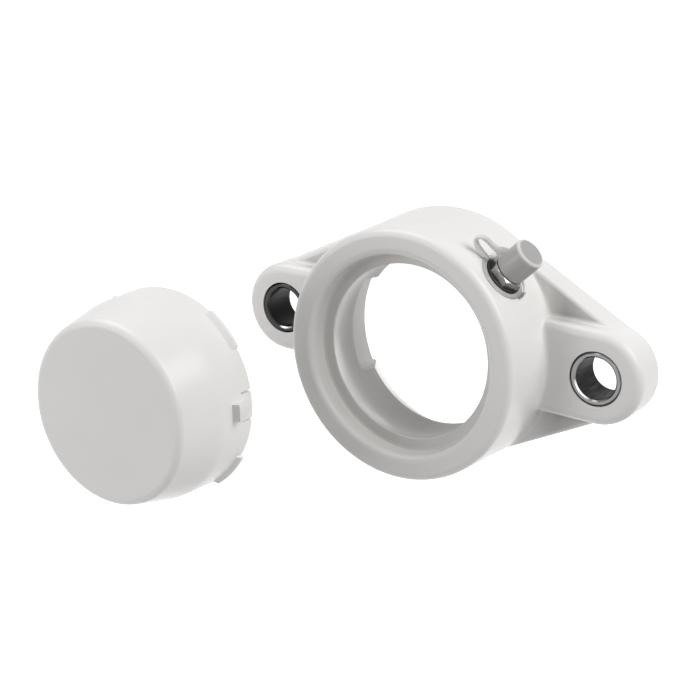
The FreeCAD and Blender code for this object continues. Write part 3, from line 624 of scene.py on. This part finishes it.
# Reach from the nipple's axis, height, width and thickness along the loop and the tail
LOOP_ROUTE = [
    (5.2, 0.60, 1.9, 1.10),
    (7.0, 0.70, 1.7, 1.20),
    (9.0, 0.95, 1.6, 1.20),
    (10.4, 1.60, 1.6, 1.05),
    (10.8, 2.60, 1.6, 0.90),
    (10.1, 3.60, 1.6, 0.95),
    (8.7, 4.00, 1.6, 1.10),
    (7.0, 4.05, 1.6, 1.25),
    (5.6, 4.25, 1.8, 1.60),
    (4.6, 4.62, 2.2, 2.40),
    (3.9, 4.78, 2.5, 3.00),
    (3.2, 4.85, 2.6, 3.30),
]
TAIL_ROUTE = [
    (-RING_MIDDLE, RING_TOP / 2, 2.8, RING_TOP),
    (-6.2, 0.45, 2.80, 0.70),
    (-6.5, 0.80, 2.52, 0.56),
    (-6.4, 1.30, 1.96, 0.49),
]

shape = bmesh.new()
lathe(shape, RING_PROFILE, RING_STEPS)
for route in (LOOP_ROUTE, TAIL_ROUTE):
    sweep(shape, smooth_route(route, STRAP_STEPS), STRAP_SIDES)
strap = as_object("strap", shape)
remesh = strap.modifiers.new("remesh", "REMESH")
remesh.mode = "VOXEL"
remesh.voxel_size = STRAP_VOXEL * MM
smooth = strap.modifiers.new("smooth", "SMOOTH")
smooth.iterations = STRAP_SMOOTHING
apply_modifiers(strap)
dress(strap, strap_plastic("strap_clear"))
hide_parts("cap_strap")
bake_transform(strap)

# Spring under the check ball, in millimetres: a wire wound round the nipple's axis
SPRING_LOW, SPRING_HIGH = 0.83, 5.606
SPRING_RADIUS, SPRING_WIRE = 0.75, 0.13
SPRING_TURNS = 3
SPRING_STEPS = 120
WIRE_SIDES = 10

shape = bmesh.new()
loops = []
for step in range(SPRING_STEPS + 1):
    angle = math.tau * SPRING_TURNS * step / SPRING_STEPS
    height = SPRING_LOW + (SPRING_HIGH - SPRING_LOW) * step / SPRING_STEPS
    loop = []
    for side in range(WIRE_SIDES):
        turn = math.tau * side / WIRE_SIDES
        radius = SPRING_RADIUS + SPRING_WIRE * math.cos(turn)
        lift = SPRING_WIRE * math.sin(turn)
        point = on_port(radius * math.cos(angle), radius * math.sin(angle), height + lift)
        loop.append(shape.verts.new(point))
    loops.append(loop)
skin(shape, loops)
spring = as_object("spring", shape)
shade_smooth(spring.data)
dress(spring, turned_metal("spring_metal", **SPRING_METAL))
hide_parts("nipple_spring")
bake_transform(spring)

# Camera, with a small roll
back = Vector((
    math.sin(CAMERA_AZIMUTH) * math.cos(CAMERA_ELEVATION),
    -math.cos(CAMERA_AZIMUTH) * math.cos(CAMERA_ELEVATION),
    math.sin(CAMERA_ELEVATION),
))
level_right = Vector((math.cos(CAMERA_AZIMUTH), math.sin(CAMERA_AZIMUTH), 0.0))
level_up = back.cross(level_right)
right = math.cos(CAMERA_ROLL) * level_right + math.sin(CAMERA_ROLL) * level_up
up = back.cross(right)
camera_data = bpy.data.cameras.new("camera")
camera_data.lens = LENS_MM
camera_data.sensor_width = SENSOR_MM
camera = bpy.data.objects.new("camera", camera_data)
camera.matrix_world = Matrix.Translation(CAMERA_PLACE) @ Matrix((right, up, back)).transposed().to_4x4()
bpy.context.collection.objects.link(camera)
bpy.context.scene.camera = camera

# Soft lamps, turned towards the middle of the mounting face
for name, direction, watts, size in LAMPS:
    lamp_data = bpy.data.lights.new(name, "AREA")
    lamp_data.shape = "DISK"
    lamp_data.size = size
    lamp_data.energy = watts
    lamp = bpy.data.objects.new(name, lamp_data)
    lamp.visible_camera = False
    turned = direction.to_track_quat("Z", "Y").to_matrix().to_4x4()
    lamp.matrix_world = Matrix.Translation(LAMP_DISTANCE * direction.normalized()) @ turned
    bpy.context.collection.objects.link(lamp)


def seen_rays(tree):
    """One for camera, mirror and see-through rays, and zero for the rays that carry soft light."""
    rays = tree.nodes.new("ShaderNodeLightPath")
    total = rays.outputs["Is Camera Ray"]
    for name in ("Is Glossy Ray", "Is Transmission Ray"):
        joined = tree.nodes.new("ShaderNodeMath")
        joined.operation = "MAXIMUM"
        tree.links.new(total, joined.inputs[0])
        tree.links.new(rays.outputs[name], joined.inputs[1])
        total = joined.outputs[0]
    return total


# World: white where it is seen, a weak even light elsewhere
world = bpy.data.worlds.new("studio")
bpy.context.scene.world = world
world.use_nodes = True
tree = world.node_tree
background = tree.nodes["Background"]
background.inputs["Color"].default_value = WHITE
level = tree.nodes.new("ShaderNodeMapRange")
level.inputs["To Min"].default_value = WORLD_LEVEL
level.inputs["To Max"].default_value = 1.0
tree.links.new(seen_rays(tree), level.inputs["Value"])
tree.links.new(level.outputs["Result"], background.inputs["Strength"])

# Pale floor, well below the part, which takes its shadow
floor_mesh = bpy.data.meshes.new("floor")
shape = bmesh.new()
bmesh.ops.create_grid(shape, x_segments=1, y_segments=1, size=FLOOR_HALF)
shape.to_mesh(floor_mesh)
shape.free()
floor = bpy.data.objects.new("floor", floor_mesh)
floor.location.z = FLOOR_HEIGHT
bpy.context.collection.objects.link(floor)
floor_paint = Paint("floor_pale")
floor_paint.shader.inputs["Base Color"].default_value = FLOOR_COLOUR
floor_paint.shader.inputs["Roughness"].default_value = FLOOR_ROUGHNESS
floor_paint.shader.inputs["Emission Color"].default_value = WHITE
glow = floor_paint.spread(seen_rays(floor_paint.tree), (0.0, FLOOR_GLOW))
floor_paint.join(glow, floor_paint.shader.inputs["Emission Strength"])
floor_mesh.materials.append(floor_paint.material)

scene = bpy.context.scene
scene.view_settings.view_transform = "Standard"
